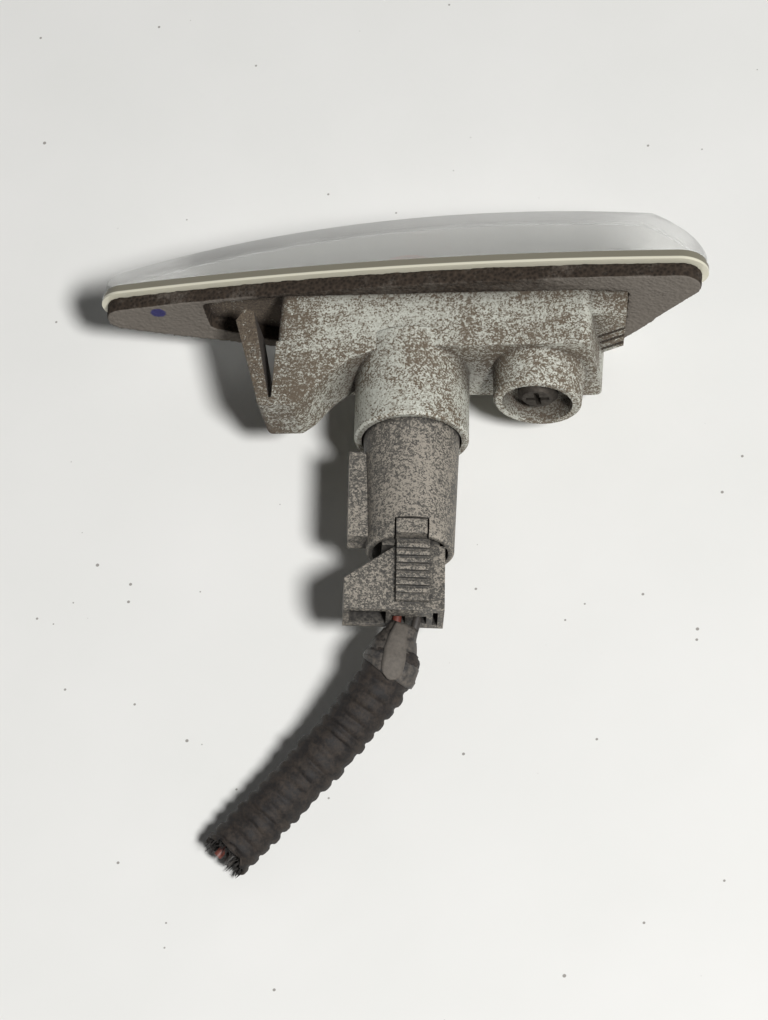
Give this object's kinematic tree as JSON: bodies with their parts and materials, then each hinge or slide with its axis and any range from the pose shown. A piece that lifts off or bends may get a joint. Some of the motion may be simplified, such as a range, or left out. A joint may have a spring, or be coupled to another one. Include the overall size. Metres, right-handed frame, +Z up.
{
  "type": "side turn signal lamp",
  "caption": "Leaf-shaped car side turn signal lamp: clear lens, grey housing with spring clip and hook, foam gasket, twist-in bulb holder with plug, cut stub of corrugated conduit.",
  "frame": {"origin": "in the gasket's rear face, which seats on the body panel, straight in front of the middle of the socket tube's mouth", "axes": "+X along the lamp, +Y the optical axis out of the car, +Z up"},
  "size_m": [0.1336, 0.1425, 0.0399],
  "materials": {
    "clear_plastic": "clear moulded, aged",
    "housing_plastic": "light grey moulded, dusty",
    "foam": "dark foam, dusty",
    "metallised": "metallised",
    "screw_steel": "dull, dark",
    "amber_glass": "amber",
    "tungsten": "drawn wire",
    "lead_wire": "drawn wire",
    "holder_plastic": "dark grey, dusty",
    "seal_rubber": "matt",
    "contact_brass": "stamped",
    "plug_plastic": "dark grey, dusty",
    "terminal_brass": "tinned",
    "red_insulation": "satin",
    "black_insulation": "satin",
    "conduit_plastic": "near black, dusty",
    "tape": "grey adhesive tape"
  },
  "bodies": {
    "root": {"lens": "clear_plastic", "housing": "housing_plastic", "gasket": "foam", "reflector": "metallised", "reflector_screw": "screw_steel", "bulb_glass": "amber_glass", "filament": "tungsten", "bulb_lead_left": "lead_wire", "bulb_lead_right": "lead_wire", "bulb_holder": "holder_plastic", "holder_seal": "seal_rubber", "contact_left": "contact_brass", "contact_right": "contact_brass", "connector_shell": "plug_plastic", "terminal_left": "terminal_brass", "terminal_right": "terminal_brass", "wire_red": "red_insulation", "wire_black": "black_insulation", "conduit": "conduit_plastic", "tape_tail": "tape"}
  },
  "joints": []
}
